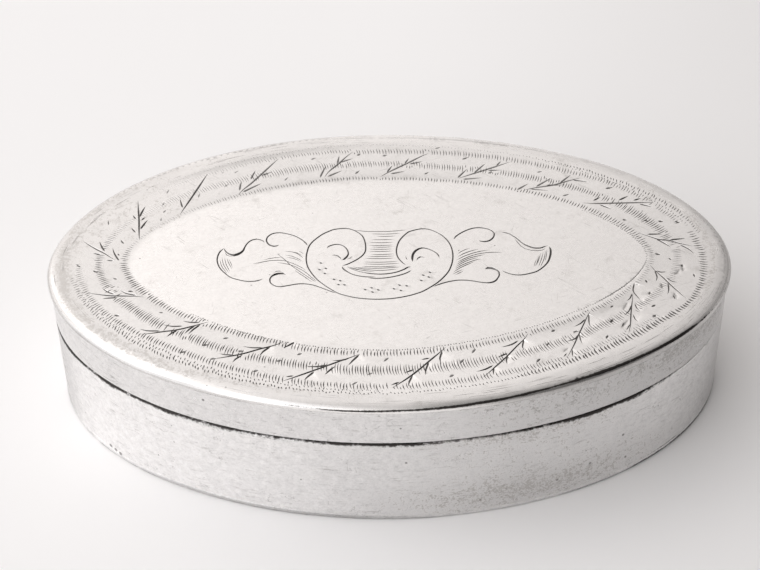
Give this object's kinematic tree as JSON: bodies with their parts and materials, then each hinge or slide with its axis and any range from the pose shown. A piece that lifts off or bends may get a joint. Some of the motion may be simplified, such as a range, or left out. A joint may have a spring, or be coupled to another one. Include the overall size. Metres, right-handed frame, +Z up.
{
  "type": "snuff box",
  "caption": "Flat-topped oval silver snuff box with upright walls and an engraved lid that opens on a straight hinge let into the back.",
  "frame": {"origin": "middle of the flat underside", "axes": "+X along the box, +Y towards the hinge at the back, +Z up through the lid"},
  "size_m": [0.082, 0.0504, 0.0187],
  "materials": {
    "lid_silver": "silver, rubbed bright, finely scratched, engraved",
    "wall_silver": "silver, worn to a soft sheen, with grey tarnish",
    "inner_silver": "silver, dulled inside the box",
    "hinge_silver": "silver tube, worn bright on top and dark in the joints",
    "pin_steel": "drawn steel wire"
  },
  "bodies": {
    "body": {"base_plate": "wall_silver", "body_wall": "wall_silver", "body_bezel": "inner_silver", "body_hinge_bearer": "inner_silver", "body_knuckle_1": "hinge_silver", "body_knuckle_2": "hinge_silver", "body_knuckle_3": "hinge_silver", "hinge_pin": "pin_steel", "hinge_cap_left": "hinge_silver", "hinge_cap_right": "hinge_silver"},
    "lid": {"lid_plate": "lid_silver", "lid_rim": "wall_silver", "lid_hinge_bearer": "inner_silver", "lid_knuckle_1": "hinge_silver", "lid_knuckle_2": "hinge_silver"}
  },
  "joints": [
    {"name": "lid_hinge", "type": "hinge", "parent": "body", "child": "lid", "pos_m": [0, 0.0239, 0.0127], "axis": [-1, 0, 0], "range_deg": [0, 100]}
  ]
}
